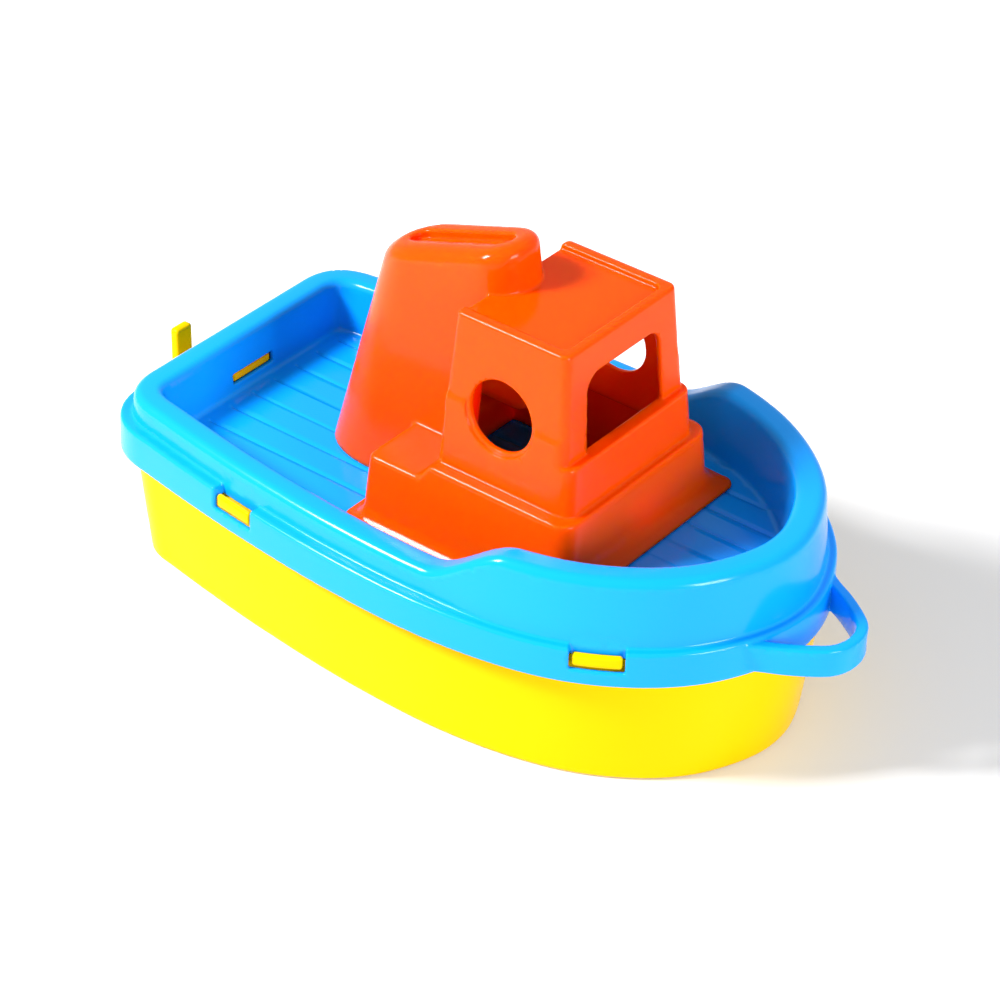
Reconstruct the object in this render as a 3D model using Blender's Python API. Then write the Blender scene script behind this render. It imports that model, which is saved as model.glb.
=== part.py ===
"""A toy tow boat: a tub hull, a deck moulding with a tow loop, and a one-piece superstructure.

+X is the bow, +Y is port, +Z is up, and z = 0 is the flat bottom. Sizes are in millimetres until PLACE.
"""

import math

import bmesh
import bpy
import numpy as np

MM = 0.001

# Colours, in linear RGB
YELLOW = (1.0, 0.86, 0.0)
BLUE = (0.02, 0.38, 0.95)
ORANGE = (0.96, 0.16, 0.01)

# Plan of the gunwale's outer wall: the transom, its corners, and the side up to the bow tip
STERN_X = -123.5
TRANSOM_HALF = 42.0
CORNER_PULL = (-122.3, 58.3)
SIDE = ((-104.0, 60.2), (-80.0, 64.2), (-52.0, 68.0), (-15.0, 71.3), (22.0, 71.8), (52.0, 68.3))
BOW = ((76.0, 61.2), (96.0, 49.3), (111.0, 34.2), (120.3, 16.0), (123.3, 0.0))
STATIONS = 44

# Heights
SKIRT_BOTTOM, LEDGE_TOP = 45.2, 58.4
HULL_TOP = 54.0
AFT_DECK, FORE_DECK = 47.3, 57.5
RIM_AFT, RIM_BOW = 67.6, 83.1
SHEER_FROM, SHEER_TO = 24.0, 56.0
DECK_RISE_FROM, DECK_RISE_TO = 37.3, 44.2
WALL = 2.0
GAP = 0.3

# The deck's outer wall leans outwards from a little below the rim, and the skirt stands out from its foot
LEAN, LEAN_TOP = 0.09, 4.0
SKIRT_INNER, SKIRT_OUTER = 3.3, 5.3

# Deck planks
PLANK_PITCH = 11.6
GROOVE_WIDTH, GROOVE_DEPTH = 0.7, 0.5
AFT_PLANKS, FORE_PLANKS = (-107.5, 33.0), (46.0, 96.0)

# Snap tabs along the skirt: (middle x, half length)
TABS = ((-56.0, 8.2), (86.0, 8.2))
TAB_LOW, TAB_HIGH = 51.5, 56.5
TAB_INNER, TAB_OUTER = 2.4, 4.5
NOTCH_MARGIN = 0.9

# The tongue in the transom's slot: a post and a riser inside the transom carry it
TONGUE_HALF, TONGUE_LOW, TONGUE_HIGH, TONGUE_END_X = 9.6, 51.0, 54.2, -112.0

# Tow loop and tow hook
LOOP_CURVE = (
    (110.0, 31.5), (119.2, 27.6), (125.0, 23.6), (132.5, 19.6),
    (139.4, 15.1), (145.0, 10.4), (147.7, 5.6), (148.6, 0.0),
)
LOOP_BOTTOM, LOOP_TOP = 46.6, 57.2
LOOP_STRAP = 4.0
LOOP_ROOT_OUTER_X, LOOP_ROOT_INNER_X = 120.6, 122.4
HOOK_X, HOOK_TOP, HOOK_WIDTH, HOOK_THICK = -146.6, 56.4, 8.0, 4.0
ARM_LOW, ARM_HIGH = 35.6, 40.2

# Superstructure
PLINTH_AFT, PLINTH_FRONT, PLINTH_HALF, PLINTH_TOP = -3.4, 60.1, 39.8, 81.3
RISER_TOP_X, RISER_LOW_X, RISER_LOW = 2.5, -3.4, 73.0
STEP_AFT, STEP_TOP = -23.5, 75.0
FLANGE_AFT, FLANGE_FRONT, FLANGE_HALF, FLANGE_THICK = -32.0, 68.0, 45.9, 1.4
CABIN_AFT, CABIN_FRONT, CABIN_HALF, ROOF = 5.0, 50.2, 29.8, 138.0
DRAFT = 0.07
PANEL_DEPTH, SIDE_RIB, FRONT_RIB = 2.0, 4.2, 3.8
CHEEK_AFT, CHEEK_FRONT, CHEEK_PROUD = 3.6, 51.0, 1.1
CHEEK_CREASE, CHEEK_EDGE = 108.5, 105.9
SILL, WINDOW_TOP, WINDOW_HALF, WINDOW_CORNER = 98.6, 126.2, 20.8, 6.0
WINDOW_LEAN = 1.4
PARAPET_AFT, PARAPET_FRONT, PARAPET_HALF = 44.0, 56.0, 33.4
PORTHOLE_X, PORTHOLE_Z, PORTHOLE_R, PORTHOLE_RIM = 25.7, 106.8, 12.7, 1.4
FUNNEL_FOOT_AFT, FUNNEL_FOOT_FRONT = -69.3, 25.0
FUNNEL_FOOT_HALF, FUNNEL_TOP_HALF = 16.2, 13.4
FUNNEL_TOP_AFT, FUNNEL_TOP_FRONT = (-44.8, 134.3), (11.6, 153.6)
RECESS_HALF_LENGTH, RECESS_RADIUS, RECESS_DEPTH = 22.0, 4.2, 3.2
LEGS = ((6.0, 38.0, AFT_DECK), (52.0, 38.0, FORE_DECK))


def clear_scene():
    for obj in list(bpy.data.objects):
        bpy.data.objects.remove(obj, do_unlink=True)


def plastic(name, colour):
    material = bpy.data.materials.new(name)
    material.use_nodes = True
    shader = material.node_tree.nodes["Principled BSDF"]
    shader.inputs["Base Color"].default_value = (*colour, 1.0)
    shader.inputs["Roughness"].default_value = 0.22
    material.diffuse_color = (*colour, 1.0)
    return material


def mesh_object(name, points, faces):
    mesh = bpy.data.meshes.new(name)
    mesh.from_pydata([tuple(p) for p in points], [], faces)
    mesh.validate()
    form = bmesh.new()
    form.from_mesh(mesh)
    bmesh.ops.remove_doubles(form, verts=form.verts, dist=1e-4)
    bmesh.ops.dissolve_degenerate(form, edges=form.edges, dist=1e-4)
    bmesh.ops.recalc_face_normals(form, faces=form.faces)
    form.to_mesh(mesh)
    form.free()
    obj = bpy.data.objects.new(name, mesh)
    bpy.context.collection.objects.link(obj)
    return obj


def combine(obj, other, operation):
    """Union or difference with another object, which is then removed."""
    modifier = obj.modifiers.new("Boolean", "BOOLEAN")
    modifier.operation = operation
    modifier.solver = "EXACT"
    modifier.object = other
    graph = bpy.context.evaluated_depsgraph_get()
    result = bpy.data.meshes.new_from_object(obj.evaluated_get(graph))
    obj.modifiers.clear()
    obj.data = result
    bpy.data.objects.remove(other, do_unlink=True)


def ease(x, low, high):
    t = min(max((x - low) / (high - low), 0.0), 1.0)
    return t * t * (3.0 - 2.0 * t)


def spline(points, samples):
    """A Catmull-Rom curve through the points. A last point on the middle line is crossed square."""
    pts = np.array(points, float)
    before = 2 * pts[0] - pts[1]
    after = np.array([pts[-2][0], -pts[-2][1]]) if pts[-1][1] == 0 else 2 * pts[-1] - pts[-2]
    full = np.vstack([before, pts, after])
    curve = []
    for i in range(1, len(full) - 2):
        p0, p1, p2, p3 = full[i - 1 : i + 3]
        for t in np.linspace(0, 1, samples, endpoint=False):
            curve.append(
                0.5
                * (
                    2 * p1
                    + (p2 - p0) * t
                    + (2 * p0 - 5 * p1 + 4 * p2 - p3) * t**2
                    + (3 * p1 - p0 - 3 * p2 + p3) * t**3
                )
            )
    curve.append(pts[-1])
    return np.array(curve)


def half_outline():
    """Half of the plan, from the middle of the transom to the bow tip, evenly spaced, with normals."""
    transom = [(STERN_X, TRANSOM_HALF * t) for t in np.linspace(0, 1, 30, endpoint=False)]
    t = np.linspace(0, 1, 30, endpoint=False)[:, None]
    start, pull, end = (np.array(p) for p in ((STERN_X, TRANSOM_HALF), CORNER_PULL, SIDE[0]))
    corner = (1 - t) ** 2 * start + 2 * t * (1 - t) * pull + t * t * end
    side = spline(SIDE + BOW, 24)
    curve = np.vstack([transom, corner, side])
    steps = np.hypot(*np.diff(curve, axis=0).T)
    along = np.concatenate([[0], np.cumsum(steps)])
    wanted = np.linspace(0, along[-1], STATIONS + 1)
    points = np.column_stack([np.interp(wanted, along, curve[:, k]) for k in (0, 1)])
    fine = along[-1] / 400
    ahead = np.column_stack([np.interp(wanted + fine, along, curve[:, k]) for k in (0, 1)])
    behind = np.column_stack([np.interp(wanted - fine, along, curve[:, k]) for k in (0, 1)])
    tangent = ahead - behind
    normal = np.column_stack([-tangent[:, 1], tangent[:, 0]])
    normal /= np.linalg.norm(normal, axis=1)[:, None]
    normal[0] = (-1, 0)
    normal[-1] = (1, 0)
    points[0, 1] = 0
    points[-1, 1] = 0
    return points, normal


def floor_faces(heights, count, k, port):
    """Faces across the boat: one wherever the floor is level, and one between stations where it climbs."""
    faces = []
    start = 0
    last = len(heights) - 1
    while start < last:
        end = start + 1
        while end < last and heights[end + 1] == heights[end] == heights[start]:
            end += 1
        starboard = [i * count + k for i in range(start, end + 1)]
        faces.append(tuple(starboard) + tuple(port + i for i in reversed(starboard)))
        start = end
    return faces


def swept(name, profile):
    """A shell whose section follows the plan. profile(x, bow) gives (offset, z) pairs, floor to floor."""
    points, normal = half_outline()
    last = len(points) - 1
    sections = []
    for i, (p, n) in enumerate(zip(points, normal)):
        row = []
        for offset, z in profile(p[0], ease(p[0], 60.0, 123.0)):
            row.append((p[0] + n[0] * offset, p[1] + n[1] * offset, z))
        sections.append(row)
    count = len(sections[0])
    verts = []
    for sign in (-1, 1):
        for row in sections:
            verts += [(x, sign * y, z) for x, y, z in row]
    port = (last + 1) * count
    faces = []
    for i in range(last):
        for k in range(count - 1):
            a, b = i * count + k, (i + 1) * count + k
            faces.append((a, b, b + 1, a + 1))
            faces.append((port + a, port + a + 1, port + b + 1, port + b))
    for k in (0, count - 1):
        faces += floor_faces([row[k][2] for row in sections], count, k, port)
    return mesh_object(name, verts, faces)


def hull_profile(x, bow):
    foot = -4.3 + 1.6 * bow
    top = 0.4 + 2.6 * bow
    waist = foot * 0.45 + top * 0.5
    return [
        (foot - 4.0, 0.0),
        (foot - 1.2, 0.0),
        (foot - 0.35, 0.35),
        (foot, 1.2),
        (waist, 25.0),
        (top, HULL_TOP),
        (top - WALL, HULL_TOP),
        (waist - WALL, 25.0),
        (foot - WALL + 0.2, 4.4),
        (foot - WALL - 0.6, 2.8),
        (foot - 4.0, 2.2),
    ]


def rim_height(x):
    return RIM_AFT + (RIM_BOW - RIM_AFT) * ease(x, SHEER_FROM, SHEER_TO)


def lean_at_ledge(x):
    """How far out the deck's leaning wall has come where it meets the ledge."""
    return LEAN * (rim_height(x) - LEAN_TOP - LEDGE_TOP)


def deck_profile(x, bow):
    rim = rim_height(x)
    lean = lean_at_ledge(x)
    climbed = min(max((x - DECK_RISE_FROM) / (DECK_RISE_TO - DECK_RISE_FROM), 0), 1)
    deck = AFT_DECK + (FORE_DECK - AFT_DECK) * climbed
    return [
        (-14.4, deck),
        (-13.2, deck + 0.4),
        (-12.7, deck + 1.7),
        (-10.7, rim - 3.4),
        (-10.0, rim - 1.4),
        (-8.4, rim - 0.2),
        (-5.6, rim),
        (-2.9, rim - 0.5),
        (-1.2, rim - 1.6),
        (-0.3, rim - 3.2),
        (lean - 0.1, LEDGE_TOP + 0.7),
        (lean + 0.5, LEDGE_TOP),
        (SKIRT_OUTER - 1.3, LEDGE_TOP - 0.1),
        (SKIRT_OUTER - 0.6, LEDGE_TOP - 0.4),
        (SKIRT_OUTER - 0.3, LEDGE_TOP - 1.2),
        (SKIRT_OUTER, SKIRT_BOTTOM),
        (SKIRT_INNER + 0.1, SKIRT_BOTTOM),
        (SKIRT_INNER, HULL_TOP + GAP),
        (lean - WALL, HULL_TOP + GAP),
        (-2.2, rim - 3.9),
        (-3.6, rim - 2.3),
        (-7.9, rim - 2.3),
        (-8.8, rim - 3.9),
        (-10.9, deck - 0.6),
        (-12.2, deck - WALL),
        (-14.4, deck - WALL),
    ]


def box(name, low, high):
    xs, ys, zs = zip(low, high)
    points = [(x, y, z) for x in xs for y in ys for z in zs]
    faces = [(0, 1, 3, 2), (4, 6, 7, 5), (0, 4, 5, 1), (2, 3, 7, 6), (0, 2, 6, 4), (1, 5, 7, 3)]
    return mesh_object(name, points, faces)


def loft(name, rings):
    """A solid through rings of equal count, closed with a flat cap at each end."""
    count = len(rings[0])
    points = [p for ring in rings for p in ring]
    faces = [tuple(range(count)), tuple(range(len(points) - count, len(points)))]
    for r in range(len(rings) - 1):
        for k in range(count):
            a, b = r * count + k, r * count + (k + 1) % count
            faces.append((a, b, b + count, a + count))
    return mesh_object(name, points, faces)


def round_rect(aft, front, half, radius, z, aft_radius=None, steps=4):
    """Plan of a block as a ring at one height, with its front and aft corners rounded."""
    aft_radius = radius if aft_radius is None else aft_radius
    ring = []
    corners = (
        (front, half, radius, 0),
        (aft, half, aft_radius, 90),
        (aft, -half, aft_radius, 180),
        (front, -half, radius, 270),
    )
    for x, y, r, start in corners:
        cx = x - math.copysign(r, x - (aft + front) / 2)
        cy = y - math.copysign(r, y)
        for k in range(steps + 1):
            angle = math.radians(start + 90 * k / steps)
            ring.append((cx + r * math.cos(angle), cy + r * math.sin(angle), z))
    return ring


def block(name, aft, front, half, radius, low, high, edge=1.2, inset=0.0, aft_radius=None):
    """A drafted block: its sizes are given at the top, it widens downwards, and its top edge is rounded."""
    rings = []
    levels = [(low, 0.0), (high - edge, 0.0)]
    if edge > 0:
        levels += [(high - edge * 0.3, edge * 0.3), (high, edge)]
    for z, shrink in levels:
        grow = DRAFT * (high - z) - shrink - inset
        corner = max(radius - inset, 0.6)
        rear = corner if aft_radius is None else max(aft_radius - inset, 0.6)
        rings.append(round_rect(aft - grow, front + grow, half + grow, corner, z, rear))
    return loft(name, rings)


def funnel_ring(level, inset, sink):
    """A section of the raked funnel: level 0 is its foot and level 1 its tilted top."""
    foot_end = 24.0
    foot_z = AFT_DECK + GAP
    (top_aft, top_low), (top_front, top_high) = FUNNEL_TOP_AFT, FUNNEL_TOP_FRONT
    slope = (top_high - top_low) / (top_front - top_aft)
    ring = []
    for end in (1, -1):
        for k in range(9):
            angle = math.radians(-90 + 22.5 * k) if end == 1 else math.radians(90 + 22.5 * k)
            c, s = math.cos(angle), math.sin(angle)
            if end == 1:
                foot_x = FUNNEL_FOOT_FRONT - FUNNEL_FOOT_HALF * (1 - c)
                top_x = top_front - FUNNEL_TOP_HALF * (1 - c)
            else:
                foot_x = FUNNEL_FOOT_AFT + foot_end * (1 + c)
                top_x = top_aft + FUNNEL_TOP_HALF * (1 + c)
            foot = np.array([foot_x - inset * c, (FUNNEL_FOOT_HALF - inset) * s, foot_z])
            top_x -= inset * c
            top = np.array([top_x, (FUNNEL_TOP_HALF - inset) * s, top_low + (top_x - top_aft) * slope])
            point = foot + (top - foot) * level
            point[2] -= sink
            ring.append(tuple(point))
    return ring


def funnel(name, inset, sink):
    if inset:
        rings = [funnel_ring(-0.12, inset, 0.0), funnel_ring(1.0, inset, sink)]
    else:
        levels = ((-0.09, 0), (0.955, 0), (0.985, 0.9), (1.0, 3.6))
        rings = [funnel_ring(level, rounding, 0) for level, rounding in levels]
    return loft(name, rings)


def extruded_y(name, outline, low, high):
    return loft(name, [[(x, low, z) for x, z in outline], [(x, high, z) for x, z in outline]])


def extruded_x(name, outline, low, high):
    return loft(name, [[(low, y, z) for y, z in outline], [(high, y, z) for y, z in outline]])


def extruded_z(name, outline, low, high):
    return loft(name, [[(x, y, low) for x, y in outline], [(x, y, high) for x, y in outline]])


def side_at(x):
    points, normal = half_outline()
    side = points[8:]
    return float(np.interp(x, side[:, 0], side[:, 1])), points, normal


def side_frame(x):
    """Point, tangent and outward normal of the starboard gunwale wall at this x."""
    y, points, normal = side_at(x)
    n = np.array([np.interp(x, points[8:, 0], normal[8:, k]) for k in (0, 1)])
    n /= np.linalg.norm(n)
    return np.array([x, y]), np.array([n[1], -n[0]]), n


def side_block(name, x, half_length, inner, outer, low, high, sign, rounded):
    """A block lying along the side, between two offsets from the gunwale's wall."""
    point, along, out = side_frame(x)
    corners = []
    trim = 1.2 if rounded else 0.0
    for a, o in (
        (-half_length, inner),
        (half_length, inner),
        (half_length, outer - trim),
        (half_length - trim, outer),
        (-half_length + trim, outer),
        (-half_length, outer - trim),
    ):
        q = point + along * a + out * o
        corners.append((q[0], sign * q[1]))
    if not rounded:
        corners = [corners[0], corners[1], corners[2], corners[5]]
    return extruded_z(name, corners, low, high)


def make_hull():
    hull = swept("Hull", hull_profile)
    for x, half in TABS:
        for sign in (-1, 1):
            root = side_block("Root", x, half - 0.4, -0.6, TAB_INNER + 0.6, TAB_LOW, HULL_TOP - 0.2, sign, False)
            combine(hull, root, "UNION")
            tab = side_block("Tab", x, half, TAB_INNER, TAB_OUTER, TAB_LOW - 0.05, TAB_HIGH, sign, True)
            combine(hull, tab, "UNION")
    inside, wide = STERN_X + 1.5, TONGUE_HALF
    combine(hull, box("Post", (inside - 1.0, -wide, 42.0), (inside + 2.6, wide, HULL_TOP)), "UNION")
    combine(hull, box("Riser", (inside + 0.6, -wide, 45.0), (inside + 2.6, wide, TONGUE_HIGH)), "UNION")
    combine(hull, box("Tongue", (inside + 1.2, -wide, TONGUE_LOW), (TONGUE_END_X, wide, TONGUE_HIGH)), "UNION")
    half = HOOK_WIDTH / 2
    low_x, high_x = HOOK_X - HOOK_THICK / 2, HOOK_X + HOOK_THICK / 2
    combine(hull, box("Arm", (HOOK_X, -half, ARM_LOW), (STERN_X + 1.0, half, ARM_HIGH)), "UNION")
    rings = []
    for z, shrink in ((ARM_LOW, 0.0), (HOOK_TOP - 2.0, 0.0), (HOOK_TOP - 0.5, 0.5), (HOOK_TOP, 1.6)):
        corner = max(1.8 - shrink, 0.3)
        rings.append(round_rect(low_x + shrink, high_x - shrink, half - shrink, corner, z, steps=3))
    combine(hull, loft("Post", rings), "UNION")
    return hull


def loop_edges():
    """Half of the tow loop in plan: its outer edge, and its inner edge one strap's width inside it."""
    outer = spline(LOOP_CURVE, 4)
    tangent = np.gradient(outer, axis=0)
    inward = np.column_stack([tangent[:, 1], -tangent[:, 0]])
    inward /= np.linalg.norm(inward, axis=1)[:, None]
    inner = outer + inward * LOOP_STRAP
    inner[-1] = (LOOP_CURVE[-1][0] - LOOP_STRAP, 0.0)
    return outer, inner


def make_loop_half(sign):
    """Half of the loop's strap, from inside the skirt's wall to the tip."""
    outer, inner = loop_edges()
    outline = [p for p in outer if p[0] > LOOP_ROOT_OUTER_X]
    outline += [p for p in reversed(inner) if p[0] > LOOP_ROOT_INNER_X]
    outline = [(x, sign * abs(y)) for x, y in outline]
    return extruded_z("Loop", outline, LOOP_BOTTOM, LOOP_TOP)


def make_deck():
    deck = swept("Deck", deck_profile)
    for sign in (-1, 1):
        combine(deck, make_loop_half(sign), "UNION")
    for x, half in TABS:
        for sign in (-1, 1):
            back = lean_at_ledge(x) + 0.1
            reach, low = half + NOTCH_MARGIN, TAB_LOW - NOTCH_MARGIN
            notch = side_block("Notch", x, reach, back, 8.0, low, LEDGE_TOP + 2.0, sign, False)
            combine(deck, notch, "DIFFERENCE")
            slot = side_block("Slot", x, reach, -1.2, 8.0, low, HULL_TOP + GAP, sign, False)
            combine(deck, slot, "DIFFERENCE")
    wide = TONGUE_HALF + 0.9
    combine(deck, box("Slot", (-119.0, -wide, TONGUE_LOW - 0.4), (-104.0, wide, TONGUE_HIGH + 0.4)), "DIFFERENCE")
    for k in range(-4, 4):
        y = (k + 0.5) * PLANK_PITCH
        half = GROOVE_WIDTH / 2
        reach = 10.0 if abs(k + 0.5) > 3 else 0.0
        aft = (AFT_PLANKS[0] + reach, AFT_PLANKS[1], AFT_DECK)
        fore = (FORE_PLANKS[0], FORE_PLANKS[1] - abs(y) * 0.62 - reach, FORE_DECK)
        for low, high, z in (aft, fore):
            groove = box("Groove", (low, y - half, z - GROOVE_DEPTH), (high, y + half, z + 1.0))
            combine(deck, groove, "DIFFERENCE")
    for x, y, z in LEGS:
        for sign in (-1, 1):
            low, high = sorted((sign * (y - 0.6), sign * (y + 4.0)))
            combine(deck, box("Slot", (x - 4.8, low, z - 5.0), (x + 4.8, high, z + 2.0)), "DIFFERENCE")
    return deck


def cabin():
    """The cabin block, its roof sunk between ribs along the sides and the front."""
    form = block("Cabin", CABIN_AFT, CABIN_FRONT, CABIN_HALF, 4.5, 70.0, ROOF, 1.4)
    low, high = ROOF - PANEL_DEPTH, ROOF + 5.0
    rings = [round_rect(-10.0, CABIN_FRONT - FRONT_RIB, CABIN_HALF - SIDE_RIB, 2.4, z) for z in (low, high)]
    combine(form, loft("Panel", rings), "DIFFERENCE")
    return form


def circle_xz(radius, steps):
    """A circle round the porthole's middle."""
    angles = (2 * math.pi * (k + 0.5) / steps for k in range(steps))
    return [(PORTHOLE_X + radius * math.cos(a), PORTHOLE_Z + radius * math.sin(a)) for a in angles]


def cheeks():
    """The lower side walls, a little proud of the cabin, under a chamfer and round a wider hole."""
    rings = []
    for z, proud in ((77.0, CHEEK_PROUD), (CHEEK_EDGE, CHEEK_PROUD), (CHEEK_CREASE, -0.1)):
        half = CABIN_HALF + DRAFT * (ROOF - z) + proud
        rings.append(round_rect(CHEEK_AFT, CHEEK_FRONT, half, 1.0, z, steps=2))
    form = loft("Cheeks", rings)
    combine(form, extruded_y("Hole", circle_xz(PORTHOLE_R + PORTHOLE_RIM, 32), -60.0, 60.0), "DIFFERENCE")
    return form


def riser():
    """What the plinth's sloping aft face leaves out, above the step."""
    slope = (RISER_TOP_X - RISER_LOW_X) / (PLINTH_TOP - RISER_LOW)
    low, high = RISER_LOW - 4.0, PLINTH_TOP + 4.0
    low_x, high_x = RISER_LOW_X - slope * 4.0, RISER_TOP_X + slope * 4.0
    outline = [(-12.0, low), (low_x, low), (high_x, high), (-12.0, high)]
    return extruded_y("Riser", outline, -60.0, 60.0)


def outer_form():
    form = block("Superstructure", PLINTH_AFT, PLINTH_FRONT, PLINTH_HALF, 7.0, 41.0, PLINTH_TOP, aft_radius=3.0)
    combine(form, riser(), "DIFFERENCE")
    aft_top, fore_top = AFT_DECK + GAP + FLANGE_THICK, FORE_DECK + GAP + FLANGE_THICK
    aft_end, fore_end = DECK_RISE_FROM - 3.9, DECK_RISE_FROM + 1.0
    foot_aft, foot_front = STEP_AFT - 3.4, PLINTH_FRONT + 3.2
    aft_foot, fore_foot = AFT_DECK + 3.6, FORE_DECK + 3.6
    parts = [
        block("Step", STEP_AFT, 12.0, PLINTH_HALF + 0.35, 3.0, 41.7, STEP_TOP, 1.8),
        cabin(),
        cheeks(),
        block("Parapet", PARAPET_AFT, PARAPET_FRONT, PARAPET_HALF, 5.0, 76.0, SILL, 0.6, aft_radius=2.0),
        funnel("Funnel", 0.0, 0.0),
        block("Flange", FLANGE_AFT, aft_end, FLANGE_HALF, 1.0, 42.4, aft_top, 0.6, aft_radius=6.0),
        block("Flange", fore_end, FLANGE_FRONT, FLANGE_HALF - 0.1, 4.5, 54.0, fore_top, 0.6, aft_radius=1.0),
        block("Foot", fore_end + 2.5, foot_front, PLINTH_HALF + 3.1, 8.0, 53.0, fore_foot, 1.2, aft_radius=1.0),
        block("Foot", foot_aft, aft_end - 1.5, PLINTH_HALF + 3.4, 2.0, 43.1, aft_foot, 1.2, aft_radius=4.0),
    ]
    for part in parts:
        combine(form, part, "UNION")
    combine(form, box("Below", (-90.0, -60.0, 20.0), (90.0, 60.0, AFT_DECK + GAP)), "DIFFERENCE")
    combine(form, box("Rise", (aft_end + 1.5, -60.0, 20.0), (90.0, 60.0, FORE_DECK + GAP)), "DIFFERENCE")
    return form


def inner_form():
    top = PLINTH_TOP - WALL
    form = block("Inner", RISER_TOP_X, PLINTH_FRONT, PLINTH_HALF, 7.0, 41.0, top, 0.0, WALL, aft_radius=3.0)
    parts = [
        block("Step", STEP_AFT, 12.0, PLINTH_HALF + 0.35, 3.0, 40.3, STEP_TOP - WALL, 0.0, WALL),
        block("Cabin", CABIN_AFT, CABIN_FRONT, CABIN_HALF, 4.5, 72.0, ROOF - PANEL_DEPTH - WALL, 0.0, WALL),
        funnel("Funnel", WALL, RECESS_DEPTH + WALL + 0.2),
    ]
    for part in parts:
        combine(form, part, "UNION")
    return form


def window_outline():
    top_half, radius = WINDOW_HALF - WINDOW_LEAN, WINDOW_CORNER
    outline = [(-WINDOW_HALF, SILL), (WINDOW_HALF, SILL)]
    for side in (1, -1):
        for k in range(6):
            angle = math.radians(18 * k if side == 1 else 90 + 18 * k)
            y = side * (top_half - radius) + radius * math.cos(angle)
            outline.append((y, WINDOW_TOP - radius + radius * math.sin(angle)))
    return outline


def make_superstructure():
    form = outer_form()
    combine(form, inner_form(), "DIFFERENCE")
    combine(form, extruded_x("Window", window_outline(), 42.0, 70.0), "DIFFERENCE")
    combine(form, extruded_y("Porthole", circle_xz(PORTHOLE_R, 32), -60.0, 60.0), "DIFFERENCE")
    combine(form, recess(), "DIFFERENCE")
    for x, y, z in LEGS:
        for sign in (-1, 1):
            low, high = sorted((sign * y, sign * (y + 2.4)))
            combine(form, box("Leg", (x - 4.0, low, z - 5.2), (x + 4.0, high, z + 10.0)), "UNION")
            low, high = sorted((sign * (y + 1.0), sign * (y + 3.4)))
            combine(form, box("Barb", (x - 4.0, low, z - 5.2), (x + 4.0, high, z - WALL - GAP)), "UNION")
    return form


def recess():
    """The long shallow recess sunk square into the funnel's tilted top."""
    slope = math.atan2(FUNNEL_TOP_FRONT[1] - FUNNEL_TOP_AFT[1], FUNNEL_TOP_FRONT[0] - FUNNEL_TOP_AFT[0])
    middle_x = (FUNNEL_TOP_AFT[0] + FUNNEL_TOP_FRONT[0]) / 2
    middle_z = (FUNNEL_TOP_AFT[1] + FUNNEL_TOP_FRONT[1]) / 2
    rings = []
    for lift, radius in ((-RECESS_DEPTH, RECESS_RADIUS - 0.8), (4.0, RECESS_RADIUS + 0.4)):
        ring = []
        for x, y, _ in round_rect(-RECESS_HALF_LENGTH, RECESS_HALF_LENGTH, radius, radius - 0.1, 0.0):
            along = middle_x + x * math.cos(slope) - lift * math.sin(slope)
            up = middle_z + x * math.sin(slope) + lift * math.cos(slope)
            ring.append((along, y, up))
        rings.append(ring)
    return loft("Recess", rings)


def place(obj, material):
    for vertex in obj.data.vertices:
        vertex.co *= MM
    obj.data.materials.clear()
    obj.data.materials.append(material)


def main():
    clear_scene()
    place(make_hull(), plastic("Yellow plastic", YELLOW))
    place(make_deck(), plastic("Blue plastic", BLUE))
    place(make_superstructure(), plastic("Orange plastic", ORANGE))


main()
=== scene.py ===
import math

import bpy
import numpy as np
import openvdb
from mathutils import Matrix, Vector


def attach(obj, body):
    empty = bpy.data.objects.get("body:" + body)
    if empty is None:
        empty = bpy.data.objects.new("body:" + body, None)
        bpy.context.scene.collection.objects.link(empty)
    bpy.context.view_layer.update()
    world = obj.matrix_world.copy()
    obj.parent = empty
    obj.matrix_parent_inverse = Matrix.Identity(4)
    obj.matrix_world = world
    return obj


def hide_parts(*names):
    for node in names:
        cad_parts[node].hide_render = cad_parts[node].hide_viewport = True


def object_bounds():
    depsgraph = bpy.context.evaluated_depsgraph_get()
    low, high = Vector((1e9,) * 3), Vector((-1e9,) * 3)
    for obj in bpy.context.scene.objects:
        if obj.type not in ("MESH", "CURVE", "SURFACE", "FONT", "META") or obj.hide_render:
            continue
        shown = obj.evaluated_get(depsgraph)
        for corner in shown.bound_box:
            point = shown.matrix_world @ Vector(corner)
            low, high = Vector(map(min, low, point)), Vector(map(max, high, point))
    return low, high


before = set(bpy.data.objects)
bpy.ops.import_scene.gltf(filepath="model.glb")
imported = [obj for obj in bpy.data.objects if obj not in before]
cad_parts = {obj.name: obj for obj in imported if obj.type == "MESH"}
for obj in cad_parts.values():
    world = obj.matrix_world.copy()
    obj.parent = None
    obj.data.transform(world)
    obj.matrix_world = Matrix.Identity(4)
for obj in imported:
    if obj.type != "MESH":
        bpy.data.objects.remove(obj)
CAD_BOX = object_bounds()

# Each moulding is a distance field in millimetres in the CAD's frame: +X bow, +Y port, z = 0 the bottom.
# A field is negative inside the plastic. openvdb makes a mesh of it, and its slope gives the normals.
MM = 0.001
VOXEL = 0.5
BAND = 3.0
ADAPTIVITY = 0.09
NORMAL_STEP = 0.6

# Plan of the gunwale's outer wall: transom, corner and side up to the bow tip
STERN_X = -123.5
TRANSOM_HALF = 42.0
CORNER_PULL = (-122.3, 58.3)
SIDE = ((-104.0, 60.2), (-80.0, 64.2), (-52.0, 68.0), (-15.0, 71.3), (22.0, 71.8), (52.0, 68.3))
BOW = ((76.0, 61.2), (96.0, 49.3), (111.0, 34.2), (120.3, 16.0), (123.3, 0.0))

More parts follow.
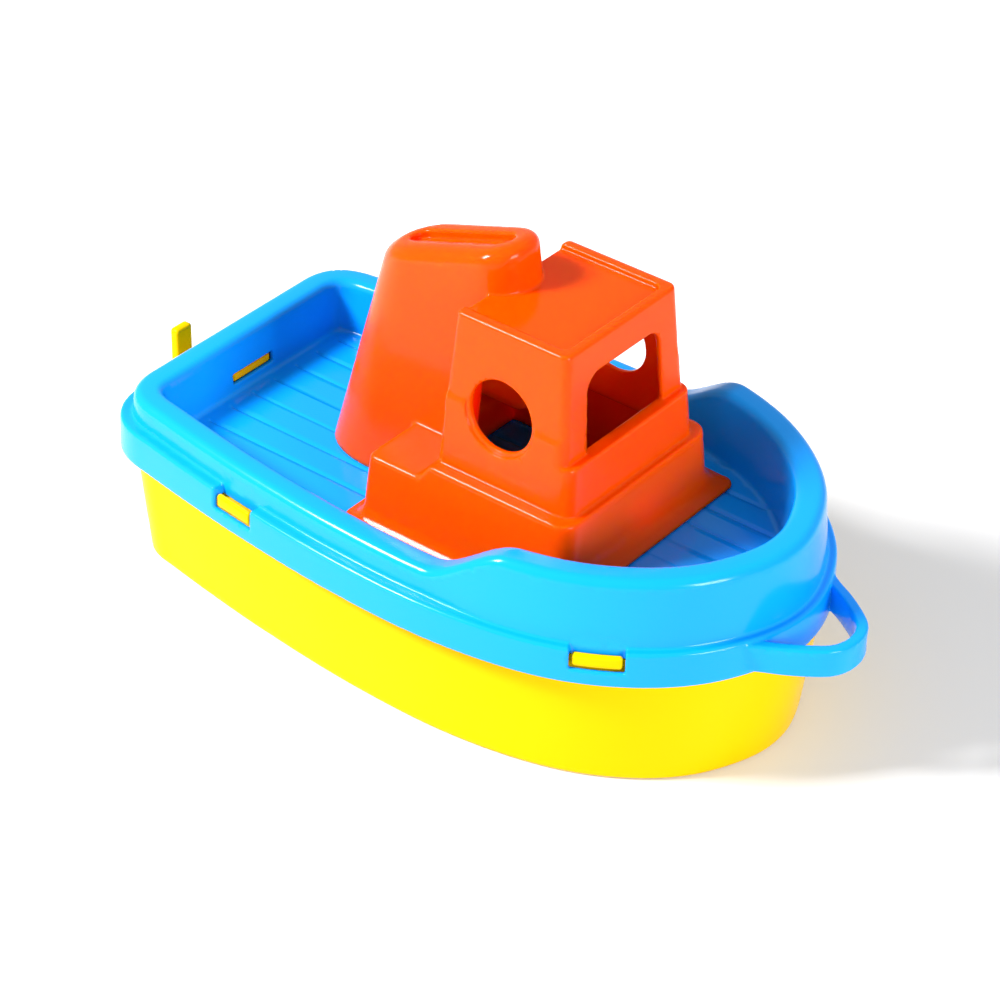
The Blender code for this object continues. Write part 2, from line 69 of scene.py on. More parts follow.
# Heights
SKIRT_BOTTOM, LEDGE_TOP = 45.2, 58.4
HULL_TOP = 54.0
AFT_DECK, FORE_DECK = 47.3, 57.5
RIM_AFT, RIM_BOW = 67.6, 83.1
SHEER_FROM, SHEER_TO = 24.0, 56.0
DECK_RISE_FROM, DECK_RISE_TO = 37.3, 44.2
WALL = 2.0
GAP = 0.3

# How far the hull's wall stands out from the plan at its foot and its top, at the side and at the bow
HULL_FOOT, HULL_MOUTH = (-4.3, -2.7), (0.4, 3.0)
BOW_FROM, BOW_TO = 60.0, 123.0

# The deck's outer wall leans out from a little below the rim, and the skirt stands out from its foot
LEAN, LEAN_TOP = 0.09, 4.0
SKIRT_INNER, SKIRT_OUTER = 3.3, 5.3

# The gunwale's crown, the well inside it, and the room that it leaves for the hull's wall
CROWN_INSET, CROWN_END, CROWN_DROP = 5.6, -12, 0.012
RIM_THICK = 2.3
RIM_EDGE, WELL_EDGE, WELL_FILLET = 3.2, 2.6, 1.6
WELL_INSET, WELL_LEAN = 10.5, 0.11
ROOM_INNER = -6.0

# Deck planks
PLANK_PITCH = 11.6
GROOVE_HALF, GROOVE_DEPTH = 0.8, 0.6
AFT_PLANKS, FORE_PLANKS = (-107.5, 33.0), (46.0, 108.0)

# Snap tabs along the skirt: (middle x, half length)
TABS = ((-56.0, 8.2), (86.0, 8.2))
TAB_LOW, TAB_HIGH = 51.5, 56.5
TAB_INNER, TAB_OUTER = 2.4, 4.5
NOTCH_MARGIN = 0.9

# The tongue in the transom's slot: a post and a riser inside the transom carry it
TONGUE_HALF, TONGUE_LOW, TONGUE_HIGH, TONGUE_END_X = 9.6, 51.0, 54.2, -112.0
SLOT_AFT, SLOT_FRONT, SLOT_MARGIN = -119.0, -104.0, 0.9

# Tow loop and tow hook
LOOP_CURVE = (
    (110.0, 31.5), (119.2, 27.6), (125.0, 23.6), (132.5, 19.6),
    (139.4, 15.1), (145.0, 10.4), (147.7, 5.6), (148.6, 0.0),
)
LOOP_START = (60.0, 40.0)
LOOP_BOTTOM, LOOP_TOP = 46.6, 57.2
LOOP_STRAP = 4.0
HOOK_X, HOOK_TOP, HOOK_WIDTH, HOOK_THICK = -146.6, 56.4, 8.0, 4.0
ARM_LOW, ARM_HIGH = 35.6, 40.2

# Superstructure
DRAFT = 0.07
PLINTH_FRONT, PLINTH_HALF, PLINTH_TOP = 60.1, 39.8, 81.3
RISER_TOP_X, RISER_LOW_X, RISER_LOW = 2.5, -3.4, 73.0
STEP_AFT, STEP_TOP = -23.5, 75.0
FLANGE_AFT, FLANGE_FRONT, FLANGE_HALF, FLANGE_THICK = -32.0, 68.0, 45.9, 1.4
FLANGE_FILLET = 6.0
CABIN_AFT, CABIN_FRONT, CABIN_HALF, ROOF = 5.0, 50.2, 29.8, 138.0
CABIN_CORNERS = (3.2, 2.0)
PANEL_DEPTH, SIDE_RIB, FRONT_RIB = 2.0, 4.2, 3.8
CHEEK_AFT, CHEEK_PROUD = 3.6, 1.1
CHEEK_CREASE, CHEEK_EDGE = 108.5, 105.9
SILL, WINDOW_TOP, WINDOW_HALF, WINDOW_CORNER = 98.6, 126.2, 20.8, 6.0
WINDOW_FROM, WINDOW_LEAN = 42.0, 1.4
PARAPET_AFT, PARAPET_FRONT, PARAPET_HALF = 44.0, 56.0, 33.4
PORTHOLE_X, PORTHOLE_Z, PORTHOLE_R, PORTHOLE_RIM = 25.7, 106.8, 12.7, 1.4
PORTHOLE_FROM = 10.0
FORE_FOOT_MARGIN = 2.4
FUNNEL_FOOT = (-69.3, 25.0, 47.6)
FUNNEL_TOP_AFT, FUNNEL_TOP_FRONT = (-44.8, 134.3), (11.6, 153.6)
FUNNEL_FOOT_HALF, FUNNEL_TOP_HALF, FUNNEL_HEIGHT = 16.2, 13.4, 92.5
FUNNEL_FOOT_ENDS = (24.0, 16.0)
FUNNEL_EDGE = 5.0
RECESS_HALF_LENGTH, RECESS_RADIUS, RECESS_DEPTH = 22.0, 4.2, 3.2

# Snap legs: (x, y, level of the deck that they go through), on both sides
LEGS = ((6.0, 38.0, AFT_DECK), (52.0, 38.0, FORE_DECK))
LEG_HALF, LEG_SLOT_HALF, LEG_DROP = 4.0, 4.8, 5.2

# The box that each field is sampled in
HULL_BOX = ((-150, -76, -2), (129, 76, 61))
DECK_BOX = ((-132, -80, 40), (152, 80, 86))
SUPERSTRUCTURE_BOX = ((-73, -49, 40), (72, 49, 156))

# Plastics: colour, roughness, shine, and the share of light that passes into them
YELLOW = ((0.76, 0.47, 0.0), 0.22, 0.03, 0.0)
BLUE = ((0.002, 0.3, 0.9), 0.15, 0.22, 0.0)
ORANGE = ((0.92, 0.064, 0.0), 0.13, 0.12, 0.7)

# How far that light travels, in metres: red the whole way, green and blue a part of it
GLOW_SCALE, GLOW_RADIUS = 0.012, (1.0, 0.2, 0.05)

# Lamps: direction from the middle of the boat, distance and size in metres, watts
KEY = ((-0.5, -0.56, 0.63), 1.6, 0.38, 51.0)
BOW_FILL = ((0.92, -0.25, 0.3), 1.8, 0.6, 28.0)
WORLD_STRENGTH = 0.54
FLOOR_HALF, FLOOR_COLOUR = 3.0, (0.8, 0.8, 0.8)

# The photo's camera: its axes in columns, its place, and its lens in millimetres
CAMERA_ROWS = ((0.78387, -0.37047, 0.4983), (0.62059, 0.44109, -0.64831), (0.02038, 0.81743, 0.57567))
CAMERA_PLACE = (0.57491, -0.74556, 0.70791)
CAMERA_LENS, CAMERA_SENSOR = 120.41, 36.0


# ---- Fields ----

def ease(x, low, high):
    t = np.clip((x - low) / (high - low), 0.0, 1.0)
    return t * t * (3.0 - 2.0 * t)


def union(a, b, radius):
    """Both shapes, with a concave fillet of this radius where they meet."""
    fillet = np.hypot(np.maximum(radius - a, 0), np.maximum(radius - b, 0))
    return np.maximum(np.minimum(a, b), radius) - fillet


def meet(a, b, radius):
    """What both shapes share, with its edge rounded to this radius."""
    rounding = np.hypot(np.maximum(radius + a, 0), np.maximum(radius + b, 0))
    return np.minimum(np.maximum(a, b), -radius) + rounding


def cut(a, b, radius):
    return meet(a, -b, radius)


def between(value, low, high):
    """A slab: negative where the value lies between its two limits."""
    return np.abs(value - (low + high) / 2) - (high - low) / 2


def grid(low, high):
    """The coordinates of a box of voxels, as three arrays that broadcast together."""
    axes = [np.arange(l, h + VOXEL, VOXEL, dtype=np.float32) for l, h in zip(low, high)]
    return axes[0][:, None, None], axes[1][None, :, None], axes[2][None, None, :]


def catmull_rom(points, samples):
    """A smooth curve through the points. The last one is on the middle line, which it crosses square."""
    pts = np.array(points, float)
    full = np.vstack([2 * pts[0] - pts[1], pts, pts[-2] * (1, -1)])
    t = np.linspace(0, 1, samples, endpoint=False)[:, None]
    curve = []
    for p0, p1, p2, p3 in zip(full, full[1:], full[2:], full[3:]):
        square = (2 * p0 - 5 * p1 + 4 * p2 - p3) * t**2
        cube = (3 * p1 - p0 - 3 * p2 + p3) * t**3
        curve.append(p1 + 0.5 * ((p2 - p0) * t + square + cube))
    return np.vstack(curve + [pts[-1:]])


def half_outline():
    """Half of the plan, from the middle of the transom round to the bow tip."""
    t = np.linspace(0, 1, 24, endpoint=False)[:, None]
    start, pull, end = (np.array(p) for p in ((STERN_X, TRANSOM_HALF), CORNER_PULL, SIDE[0]))
    corner = (1 - t) ** 2 * start + 2 * t * (1 - t) * pull + t * t * end
    return np.vstack([[(STERN_X, -1.0)], corner, catmull_rom(SIDE + BOW, 16)])


def plan_distance(x, y, curve):
    """Signed distance in plan to a curve that is mirrored in y = 0: negative inside."""
    px, py = x[:, :, 0], np.abs(y[:, :, 0])
    nearest = np.full(np.broadcast(px, py).shape, np.inf, np.float32)
    inside = np.zeros(nearest.shape, bool)
    for (ax, ay), (bx, by) in zip(curve, curve[1:]):
        dx, dy = bx - ax, by - ay
        t = np.clip(((px - ax) * dx + (py - ay) * dy) / (dx * dx + dy * dy), 0, 1)
        nearest = np.minimum(nearest, (px - ax - t * dx) ** 2 + (py - ay - t * dy) ** 2)
        if dx != 0:
            inside ^= ((px >= min(ax, bx)) & (px < max(ax, bx))) & (py < ay + (px - ax) * dy / dx)
    field = np.sqrt(nearest) * np.where(inside, -1, 1)
    return smoothed(field.astype(np.float32))[:, :, None]


def smoothed(field):
    """The plan's distance field with the small kinks between its straight pieces blurred away."""
    for _ in range(4):
        field[1:-1] = (field[:-2] + 2 * field[1:-1] + field[2:]) / 4
        field[:, 1:-1] = (field[:, :-2] + 2 * field[:, 1:-1] + field[:, 2:]) / 4
    return field


def side_frame(curve, x):
    """Point and outward normal of the port side of the plan at this x."""
    side = curve[np.argmax(curve[:, 0] > SIDE[0][0] + 1):]
    y = np.interp((x - 1, x, x + 1), side[:, 0], side[:, 1])
    normal = np.array([y[0] - y[2], 2.0])
    return np.array([x, y[1]]), normal / np.linalg.norm(normal)


def along_side(curve, middle, x, y):
    """How far a point lies along the side from its point at x = middle, on either side of the boat."""
    point, normal = side_frame(curve, middle)
    return (x - point[0]) * normal[1] - (np.abs(y) - point[1]) * normal[0]


def box_field(x, y, z, low, high, radius):
    """A box with rounded edges."""
    parts = [between(axis, l, h) for axis, l, h in zip((x, y, z), low, high)]
    return meet(meet(parts[0], parts[1], radius), parts[2], radius)


# ---- Hull ----

def tub(x, z, d):
    """The open tub: its wall leans out from the foot to the top, more so at the bow."""
    bow = ease(x, BOW_FROM, BOW_TO)
    foot, top = (at_side + (at_bow - at_side) * bow for at_side, at_bow in (HULL_FOOT, HULL_MOUTH))
    t = z / HULL_TOP
    side = d - (foot + (top - 1.2 * foot) * t + 0.2 * foot * t * t)
    outer = meet(side, -z, 1.8)
    inner = meet(side + WALL, 2.2 - z, 2.5)
    return meet(cut(outer, inner, 0.4), z - HULL_TOP, 0.4)


def tab(x, y, z, d, curve, middle, half):
    """A snap tab, which stands in its notch of the skirt on a root out of the tub's wall."""
    along = np.abs(along_side(curve, middle, x, y)) - half
    bar = meet(meet(along, between(d, TAB_INNER, TAB_OUTER), 0.9), between(z, TAB_LOW, TAB_HIGH), 1.0)
    reach = meet(along, between(d, -0.6, TAB_INNER + 0.6), 0.3)
    root = meet(reach, np.maximum(TAB_LOW - z, z - HULL_TOP), 0.3)
    return np.minimum(bar, root)


def tongue(x, y, z):
    """The post inside the transom, its riser, and the tongue that shows in the slot."""
    inside = STERN_X + 1.5
    boxes = (
        ((inside - 1.0, 42.0), (inside + 2.6, HULL_TOP), 0.3),
        ((inside + 0.6, 45.0), (inside + 2.6, TONGUE_HIGH), 0.3),
        ((inside + 1.2, TONGUE_LOW), (TONGUE_END_X, TONGUE_HIGH), 0.5),
    )
    parts = []
    for (aft, low), (front, high), radius in boxes:
        parts.append(box_field(x, y, z, (aft, -TONGUE_HALF, low), (front, TONGUE_HALF, high), radius))
    return parts


def tow_hook(x, y, z):
    half, aft = HOOK_WIDTH / 2, HOOK_X - HOOK_THICK / 2
    low, high = (aft + 1.0, 0.5 - half, ARM_LOW), (STERN_X + 1.0, half - 0.5, ARM_HIGH)
    arm = box_field(x, y, z, low, high, 1.0)
    post = box_field(x, y, z, (aft, -half, ARM_LOW), (aft + HOOK_THICK, half, HOOK_TOP), 1.2)
    return union(arm, post, 1.5)


def hull_field(x, y, z):
    curve = half_outline()
    d = plan_distance(x, y, curve)
    form = tub(x, z, d)
    for middle, half in TABS:
        form = np.minimum(form, tab(x, y, z, d, curve, middle, half))
    for part in tongue(x, y, z):
        form = union(form, part, 0.3)
    return union(form, tow_hook(x, y, z), 0.8)


# ---- Deck ----

def planks(x, y):
    """How deep the grooves between the deck planks are at each point of the plan."""
    from_groove = np.abs(np.mod(y, PLANK_PITCH) - PLANK_PITCH / 2)
    depth = GROOVE_DEPTH * np.clip(1 - from_groove / GROOVE_HALF, 0, 1)
    length = 0.0
    for low, high in (AFT_PLANKS, FORE_PLANKS):
        length = length + ease(x, low, low + 1.5) * (1 - ease(x, high - 1.5, high))
    return depth * length


def tow_loop(x, y, z, d):
    """The loop's strap, which starts inside the skirt's wall."""
    ring = plan_distance(x, y, np.vstack([[LOOP_START], catmull_rom(LOOP_CURVE, 12)]))
    band = meet(ring, -ring - LOOP_STRAP, 0.3)
    strap = meet(band, between(z, LOOP_BOTTOM, LOOP_TOP), 0.9)
    return meet(strap, SKIRT_INNER + 0.6 - d, 0.3)


def notches(x, y, z, wall, curve):
    """The notches in the skirt round the hull's tabs."""
    fields = []
    for middle, half in TABS:
        along = np.abs(along_side(curve, middle, x, y)) - half - NOTCH_MARGIN
        pocket = meet(meet(along, TAB_LOW - NOTCH_MARGIN - z, 0.3), 0.05 - wall, 0.3)
        fields.append(np.maximum(pocket, z - LEDGE_TOP - 4.0))
    return fields


def tongue_slot(x, y, z):
    half = TONGUE_HALF + SLOT_MARGIN
    low, high = (SLOT_AFT, -half, TONGUE_LOW - 0.4), (SLOT_FRONT, half, TONGUE_HIGH + 0.4)
    return box_field(x, y, z, low, high, 0.5)


def leg_slots(x, y, z):
    fields = []
    for leg_x, leg_y, level in LEGS:
        low = (leg_x - LEG_SLOT_HALF, leg_y - 0.6, level - 5.0)
        high = (leg_x + LEG_SLOT_HALF, leg_y + 4.0, level + 2.0)
        fields.append(box_field(x, np.abs(y), z, low, high, 0.2))
    return fields


def deck_outside(x, y, z, d, wall, rim):
    """The gunwale with its crown, and the skirt with the tow loop."""
    crown = rim - CROWN_DROP * (np.maximum(d, CROWN_END) + CROWN_INSET) ** 2
    gunwale = meet(wall, z - crown, RIM_EDGE)
    skirt_side = d - SKIRT_OUTER + 0.3 * ease(z, SKIRT_BOTTOM, LEDGE_TOP)
    skirt = meet(skirt_side, z - LEDGE_TOP, 1.3)
    return union(gunwale, union(skirt, tow_loop(x, y, z, d), 0.4), 0.9)


def deck_shell(x, y, z, d, wall, rim):
    """The deck with its well, hollow underneath, without the notches and slots."""
    climbed = np.clip((x - DECK_RISE_FROM) / (DECK_RISE_TO - DECK_RISE_FROM), 0, 1)
    floor = AFT_DECK + (FORE_DECK - AFT_DECK) * climbed
    well_side = d + WELL_INSET + WELL_LEAN * (rim - z)
    well = meet(well_side, floor - planks(x, y) - z, WELL_FILLET)
    form = cut(deck_outside(x, y, z, d, wall, rim), well, WELL_EDGE)

    under_well = WALL - meet(well_side, floor - z, WELL_FILLET)
    under = meet(meet(wall + WALL, z - rim + RIM_THICK, 1.5), under_well, 1.0)
    hull_room = np.maximum(np.maximum(d - SKIRT_INNER, ROOM_INNER - d), z - HULL_TOP - GAP)
    form = cut(cut(form, under, 0.3), hull_room, 0.3)
    return meet(form, SKIRT_BOTTOM - z, 0.5)


def deck_field(x, y, z):
    curve = half_outline()
    d = plan_distance(x, y, curve)
    rim = RIM_AFT + (RIM_BOW - RIM_AFT) * ease(x, SHEER_FROM, SHEER_TO)
    wall = d - LEAN * np.maximum(rim - LEAN_TOP - np.maximum(z, LEDGE_TOP), 0)
    form = deck_shell(x, y, z, d, wall, rim)
    for notch in notches(x, y, z, wall, curve):
        form = cut(form, notch, 0.4)
    form = cut(form, tongue_slot(x, y, z), 0.4)
    for slot in leg_slots(x, y, z):
        form = cut(form, slot, 0.2)
    return form


# ---- Superstructure ----

def block(x, y, z, aft, front, half, high, corners, edge):
    """A drafted block, sized at its top. Its upright corners (front, aft) and top edge are rounded."""
    grow = DRAFT * (high - z)
    middle, reach = (aft + front) / 2, (front - aft) / 2
    radius = np.where(x > middle, corners[0], corners[1]).astype(np.float32)
    past_x = np.abs(x - middle) - reach - grow + radius
    past_y = np.abs(y) - half - grow + radius
    beyond = np.hypot(np.maximum(past_x, 0), np.maximum(past_y, 0))
    rounded = beyond + np.minimum(np.maximum(past_x, past_y), 0) - radius
    return meet(rounded / math.hypot(1, DRAFT), z - high, edge)


def funnel_top(x, z):
    """Distance above the funnel's tilted top, and distance along it from its middle."""
    run = FUNNEL_TOP_FRONT[0] - FUNNEL_TOP_AFT[0]
    tilt = math.atan2(FUNNEL_TOP_FRONT[1] - FUNNEL_TOP_AFT[1], run)
    from_x = x - FUNNEL_TOP_AFT[0] - run / 2
    from_z = z - (FUNNEL_TOP_AFT[1] + FUNNEL_TOP_FRONT[1]) / 2
    above = from_z * math.cos(tilt) - from_x * math.sin(tilt)
    along = from_x * math.cos(tilt) + from_z * math.sin(tilt)
    return above, along


def funnel_wall(x, y, z):
    """The raked funnel's wall, whose section is a stadium with elliptical ends."""
    foot_aft, foot_front, foot_z = FUNNEL_FOOT
    up = z - foot_z
    aft = foot_aft + (FUNNEL_TOP_AFT[0] - foot_aft) * up / (FUNNEL_TOP_AFT[1] - foot_z)
    front = foot_front + (FUNNEL_TOP_FRONT[0] - foot_front) * up / (FUNNEL_TOP_FRONT[1] - foot_z)
    part = np.clip(up / FUNNEL_HEIGHT, -0.1, 1.1)
    half = FUNNEL_FOOT_HALF + (FUNNEL_TOP_HALF - FUNNEL_FOOT_HALF) * part
    aft_end, front_end = (end + (FUNNEL_TOP_HALF - end) * part for end in FUNNEL_FOOT_ENDS)
    past_aft = np.minimum(x - aft - aft_end, 0) / aft_end
    past_front = np.maximum(x - front + front_end, 0) / front_end
    u = past_aft + past_front
    v = y / half
    rho = np.hypot(u, v) + 1e-4
    slope = np.hypot(np.where(u < 0, u / aft_end, u / front_end), v / half) + 1e-6
    return (rho - 1) * rho / slope


def cheeks(x, y, z, porthole):
    """The slightly proud lower side walls of the cabin, under a chamfer and round a wider hole."""
    side = (np.abs(y) - CABIN_HALF - DRAFT * (ROOF - z)) / math.hypot(1, DRAFT)
    half = CABIN_HALF + CHEEK_PROUD
    corners = (CABIN_CORNERS[0] + CHEEK_PROUD, 1.0)
    form = block(x, y, z, CHEEK_AFT - 2.5, CABIN_FRONT, half, ROOF, corners, 0.0)
    form = np.maximum(form, CHEEK_AFT - x)
    drop = CHEEK_CREASE - CHEEK_EDGE
    chamfer = (drop * side + CHEEK_PROUD * (z - CHEEK_CREASE)) / math.hypot(drop, CHEEK_PROUD)
    form = meet(form, chamfer, 0.4)
    form = np.maximum(form, np.maximum(PLINTH_TOP - 3.0 - z, -3.0 - side))
    return cut(form, porthole - PORTHOLE_RIM, 0.3)


def window_field(x, y, z):
    lean = WINDOW_LEAN / (WINDOW_TOP - SILL)
    opening = meet(np.abs(y) - WINDOW_HALF + lean * (z - SILL), z - WINDOW_TOP, WINDOW_CORNER)
    return np.maximum(np.maximum(opening, SILL - z), WINDOW_FROM - x)


def base_block(x, y, z):
    """The plinth and the lower step aft of it, which share their side walls."""
    sides = block(x, y, z, STEP_AFT, PLINTH_FRONT, PLINTH_HALF, PLINTH_TOP, (7.0, 3.0), 0.0)
    rise, run = PLINTH_TOP - RISER_LOW, RISER_TOP_X - RISER_LOW_X
    riser = (run * (z - PLINTH_TOP) - rise * (x - RISER_TOP_X)) / math.hypot(rise, run)
    top = union(z - STEP_TOP, meet(z - PLINTH_TOP, riser, 1.2), 1.0)
    return meet(sides, top, 1.6)


def flanges(x, y, z):
    """The thin flanges that lie on the aft deck and on the higher fore deck."""
    aft_level, fore_level = AFT_DECK + GAP + FLANGE_THICK, FORE_DECK + GAP + FLANGE_THICK
    aft_end = DECK_RISE_FROM - 1.0
    aft = block(x, y, z, FLANGE_AFT, aft_end, FLANGE_HALF, aft_level, (1.0, 6.0), 0.6)
    fore = block(x, y, z, DECK_RISE_FROM, FLANGE_FRONT, FLANGE_HALF, fore_level, (4.5, 1.0), 0.6)
    return np.minimum(aft, fore)


def cabin_outer(x, y, z, porthole):
    """The cabin with its cheeks, its parapet and the panel sunk into its roof."""
    form = block(x, y, z, CABIN_AFT, CABIN_FRONT, CABIN_HALF, ROOF, CABIN_CORNERS, 1.2)
    form = union(form, cheeks(x, y, z, porthole), 0.3)
    parapet = block(x, y, z, PARAPET_AFT, PARAPET_FRONT, PARAPET_HALF, SILL, (4.5, 2.0), 0.7)
    form = union(form, parapet, 0.5)
    panel = meet(x - CABIN_FRONT + FRONT_RIB, np.abs(y) - CABIN_HALF + SIDE_RIB, 2.4)
    return cut(form, meet(panel, ROOF - PANEL_DEPTH - z, 0.7), 0.6)


def funnel_outer(x, y, z):
    """The funnel with its rounded top edge and the long recess in its top."""
    above, along = funnel_top(x, z)
    form = meet(funnel_wall(x, y, z), above, FUNNEL_EDGE)
    reach = RECESS_HALF_LENGTH - RECESS_RADIUS
    stadium = np.hypot(np.maximum(np.abs(along) - reach, 0), y) - RECESS_RADIUS
    return cut(form, meet(stadium, -RECESS_DEPTH - above, 1.0), 1.0)


def outer_walls(x, y, z, porthole):
    low = union(base_block(x, y, z), flanges(x, y, z), FLANGE_FILLET)
    low = union(low, funnel_outer(x, y, z), 1.6)
    return union(low, cabin_outer(x, y, z, porthole), 0.9)


def inner_walls(x, y, z):
    cabin = block(x, y, z, CABIN_AFT, CABIN_FRONT, CABIN_HALF, ROOF - PANEL_DEPTH, CABIN_CORNERS, 1.2)
    above, _ = funnel_top(x, z)
    funnel = meet(funnel_wall(x, y, z), above + RECESS_DEPTH + 0.2, 2.0)
    return union(union(base_block(x, y, z), cabin, 1.0), funnel, 1.0) + WALL


def legs(x, y, z):
    """The snap legs, each followed by the hook at its foot."""
    fields = []
    for leg_x, leg_y, level in LEGS:
        bottom = level - LEG_DROP
        spans = ((leg_y, leg_y + 2.4, level + 10.0), (leg_y + 1.0, leg_y + 3.4, level - WALL - GAP))
        for inner, outer, top in spans:
            low, high = (leg_x - LEG_HALF, inner, bottom), (leg_x + LEG_HALF, outer, top)
            fields.append(box_field(x, np.abs(y), z, low, high, 0.3))
    return fields


def superstructure_field(x, y, z):
    porthole = np.hypot(x - PORTHOLE_X, z - PORTHOLE_Z) - PORTHOLE_R
    form = outer_walls(x, y, z, porthole)
    form = cut(form, inner_walls(x, y, z), 0.3)
    form = cut(form, window_field(x, y, z), 0.5)
    form = cut(form, np.maximum(porthole, PORTHOLE_FROM - np.abs(y)), 0.5)
    form = meet(form, AFT_DECK + GAP - z, 0.3)
    fore_foot = DECK_RISE_FROM - FORE_FOOT_MARGIN
    form = cut(form, np.maximum(fore_foot - x, z - FORE_DECK - GAP), 0.3)
    for part in legs(x, y, z):
        form = union(form, part, 0.3)
    return form


# ---- Meshes ----

def sample(volume, points):
    """The volume's value at each point, between its eight neighbours."""
    base = np.clip(np.floor(points).astype(int), 0, np.array(volume.shape) - 2)
    part = points - base
    total = np.zeros(len(points))
    for corner in np.ndindex(2, 2, 2):
        weight = np.prod(np.where(corner, part, 1 - part), axis=1)
        total += weight * volume[tuple((base + corner).T)]
    return total


def field_slope(values, points):
    """The direction in which the field grows at each point, which is the mesh's normal there."""
    normals = np.zeros_like(points)
    for axis in range(3):
        shift = np.eye(3)[axis] * NORMAL_STEP
        normals[:, axis] = sample(values, points + shift) - sample(values, points - shift)
    return normals / (np.linalg.norm(normals, axis=1)[:, None] + 1e-9)


def face_outwards(mesh, faces, normals):
    """Turns all the faces round if they look against the field's slope."""
    looks = np.empty(len(mesh.polygons) * 3, np.float32)
    mesh.polygons.foreach_get("normal", looks)
    firsts = np.array([face[0] for face in faces])
    if np.einsum("ij,ij->i", looks.reshape(-1, 3), normals[firsts]).mean() < 0:
        mesh.flip_normals()


def moulding(name, field, low, high):
    """A mesh object from a field, over the box from low to high."""
    values = np.clip(field(*grid(low, high)) / VOXEL, -BAND, BAND).astype(np.float32)
    volume = openvdb.FloatGrid(BAND)
    volume.copyFromArray(values, tolerance=0.0)
    points, triangles, quads = volume.convertToPolygons(0.0, ADAPTIVITY)
    points = np.array(points, np.float64)
    faces = [tuple(face) for face in (*np.asarray(triangles), *np.asarray(quads))]
    mesh = bpy.data.meshes.new(name)
    mesh.from_pydata(((points * VOXEL + np.array(low)) * MM).tolist(), [], faces)
    normals = field_slope(values, points)
    face_outwards(mesh, faces, normals)
    mesh.shade_smooth()
    mesh.normals_split_custom_set_from_vertices(normals.tolist())
    piece = bpy.data.objects.new(name, mesh)
    bpy.context.scene.collection.objects.link(piece)
    return piece


# ---- Materials ----

def add_noise(tree, place, scale, detail):
    noise = tree.nodes.new("ShaderNodeTexNoise")
    noise.inputs["Scale"].default_value = scale
    noise.inputs["Detail"].default_value = detail
    tree.links.new(place.outputs["Object"], noise.inputs["Vector"])
    return noise


def uneven_colour(tree, cloud, shader, colour):
    tint = tree.nodes.new("ShaderNodeValToRGB")
    tint.color_ramp.elements[0].color = (*(c * 0.965 for c in colour), 1.0)
    tint.color_ramp.elements[1].color = (*(min(c * 1.02, 1.0) for c in colour), 1.0)
    tree.links.new(cloud.outputs["Fac"], tint.inputs["Fac"])
    tree.links.new(tint.outputs["Color"], shader.inputs["Base Color"])


def uneven_gloss(tree, cloud, shader, roughness):
    gloss = tree.nodes.new("ShaderNodeMapRange")
    gloss.inputs["To Min"].default_value = roughness * 0.8
    gloss.inputs["To Max"].default_value = roughness * 1.25
    tree.links.new(cloud.outputs["Fac"], gloss.inputs["Value"])
    tree.links.new(gloss.outputs["Result"], shader.inputs["Roughness"])


def uneven_surface(tree, place, shader):
    """Slow ripples, and a much finer grain on top of them."""
    ripple = add_noise(tree, place, 90.0, 2.0)
    grain = add_noise(tree, place, 2600.0, 2.0)
    mix = tree.nodes.new("ShaderNodeMath")
    mix.operation = "MULTIPLY_ADD"
    mix.inputs[1].default_value = 0.04
    tree.links.new(grain.outputs["Fac"], mix.inputs[0])
    tree.links.new(ripple.outputs["Fac"], mix.inputs[2])
    bump = tree.nodes.new("ShaderNodeBump")
    bump.inputs["Strength"].default_value = 0.05
    bump.inputs["Distance"].default_value = 0.0004
    tree.links.new(mix.outputs["Value"], bump.inputs["Height"])
    tree.links.new(bump.outputs["Normal"], shader.inputs["Normal"])


def plastic(name, colour, roughness, shine, glow):
    """Glossy injection-moulded polypropylene, never quite even. A little light may pass into it."""
    material = bpy.data.materials.new(name)
    material.use_nodes = True
    tree = material.node_tree
    shader = tree.nodes["Principled BSDF"]
    shader.inputs["Subsurface Weight"].default_value = glow
    shader.inputs["Subsurface Radius"].default_value = GLOW_RADIUS
    shader.inputs["Subsurface Scale"].default_value = GLOW_SCALE
    shader.inputs["IOR"].default_value = 1.49
    shader.inputs["Specular IOR Level"].default_value = shine

    place = tree.nodes.new("ShaderNodeTexCoord")
    cloud = add_noise(tree, place, 28.0, 4.0)
    uneven_colour(tree, cloud, shader, colour)
    uneven_gloss(tree, cloud, shader, roughness)
    uneven_surface(tree, place, shader)
    return material


def matte(name, colour):
    material = bpy.data.materials.new(name)
    material.use_nodes = True
    shader = material.node_tree.nodes["Principled BSDF"]
    shader.inputs["Base Color"].default_value = (*colour, 1.0)
    shader.inputs["Roughness"].default_value = 0.9
    return material


# ---- Scene ----

def add_piece(name, node, material, field, box):
    piece = moulding(name, field, *box)
    piece.data.materials.append(material)
    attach(piece, "root")
    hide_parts(node)


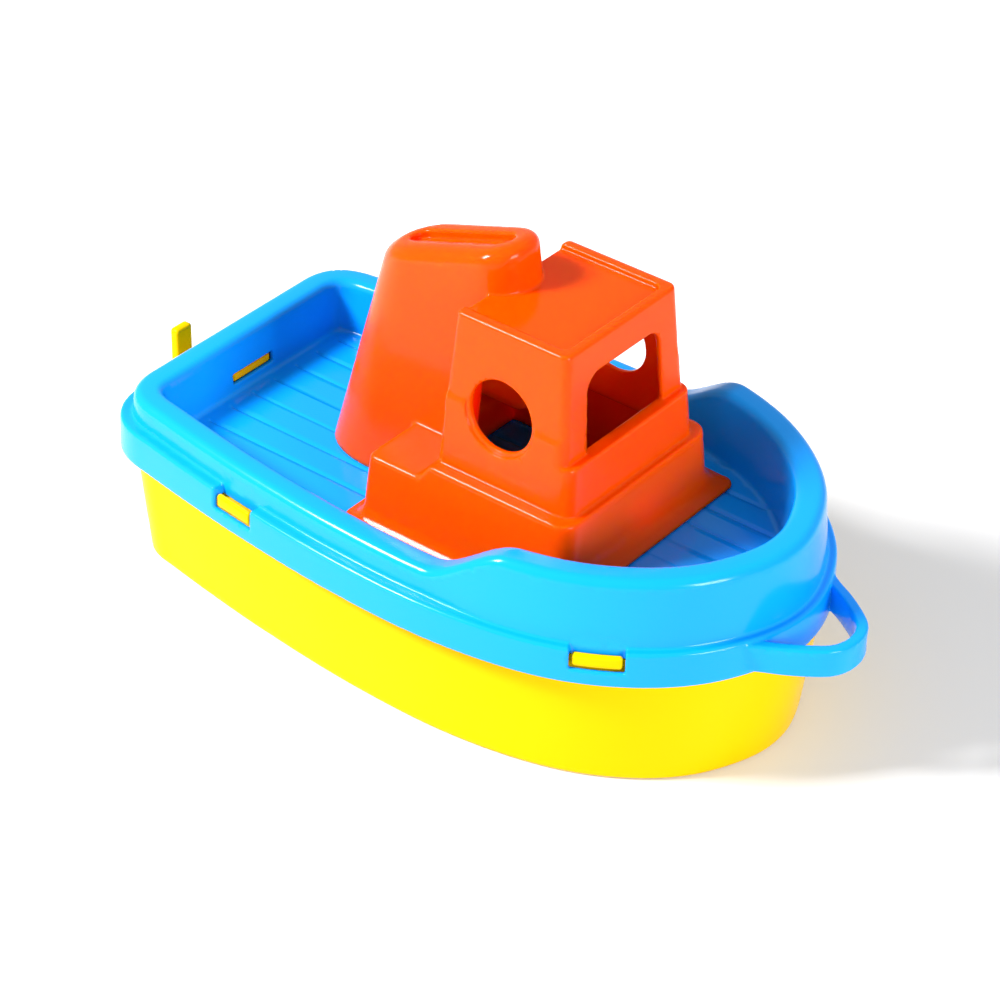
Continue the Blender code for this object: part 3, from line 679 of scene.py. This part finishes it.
def add_pieces():
    yellow = plastic("yellow_polypropylene", *YELLOW)
    blue = plastic("blue_polypropylene", *BLUE)
    orange = plastic("orange_polypropylene", *ORANGE)
    add_piece("hull_moulding", "Hull", yellow, hull_field, HULL_BOX)
    add_piece("deck_moulding", "Deck", blue, deck_field, DECK_BOX)
    add_piece(
        "superstructure_moulding", "Superstructure",
        orange, superstructure_field, SUPERSTRUCTURE_BOX,
    )


def placed(axes, location):
    """The matrix of something with these axes, in columns, at this place."""
    matrix = Matrix([(*row, 0) for row in axes] + [(0, 0, 0, 1)])
    matrix.translation = location
    return matrix


def look_at(location, target):
    back = location - target
    back /= np.linalg.norm(back)
    right = np.cross((0, 0, 1), back)
    right /= np.linalg.norm(right)
    up = np.cross(back, right)
    return placed(np.column_stack([right, up, back]).tolist(), location)


def add_light(name, target, direction, distance, size, watts):
    """A square lamp that stands in this direction from its target and shines at it."""
    lamp = bpy.data.lights.new(name, "AREA")
    lamp.shape = "SQUARE"
    lamp.size = size
    lamp.energy = watts
    light = bpy.data.objects.new(name, lamp)
    toward = np.array(direction) / np.linalg.norm(direction)
    light.matrix_world = look_at(target + toward * distance, target)
    bpy.context.scene.collection.objects.link(light)


def add_floor():
    mesh = bpy.data.meshes.new("floor")
    corners = [(x * FLOOR_HALF, y * FLOOR_HALF, 0) for x, y in ((-1, -1), (1, -1), (1, 1), (-1, 1))]
    mesh.from_pydata(corners, [], [(0, 1, 2, 3)])
    mesh.materials.append(matte("floor", FLOOR_COLOUR))
    floor = bpy.data.objects.new("floor", mesh)
    bpy.context.scene.collection.objects.link(floor)


def add_lights():
    middle = np.mean(CAD_BOX, axis=0)
    add_light("key", middle, *KEY)
    add_light("bow_fill", middle, *BOW_FILL)
    world = bpy.data.worlds.new("studio")
    world.use_nodes = True
    background = world.node_tree.nodes["Background"]
    background.inputs["Color"].default_value = (1, 1, 1, 1)
    background.inputs["Strength"].default_value = WORLD_STRENGTH
    bpy.context.scene.world = world
    bpy.context.scene.view_settings.view_transform = "Standard"


def add_camera():
    data = bpy.data.cameras.new("camera")
    data.lens = CAMERA_LENS
    data.sensor_width = CAMERA_SENSOR
    camera = bpy.data.objects.new("camera", data)
    camera.matrix_world = placed(CAMERA_ROWS, CAMERA_PLACE)
    bpy.context.scene.collection.objects.link(camera)
    bpy.context.scene.camera = camera


add_camera()
add_floor()
add_lights()
add_pieces()
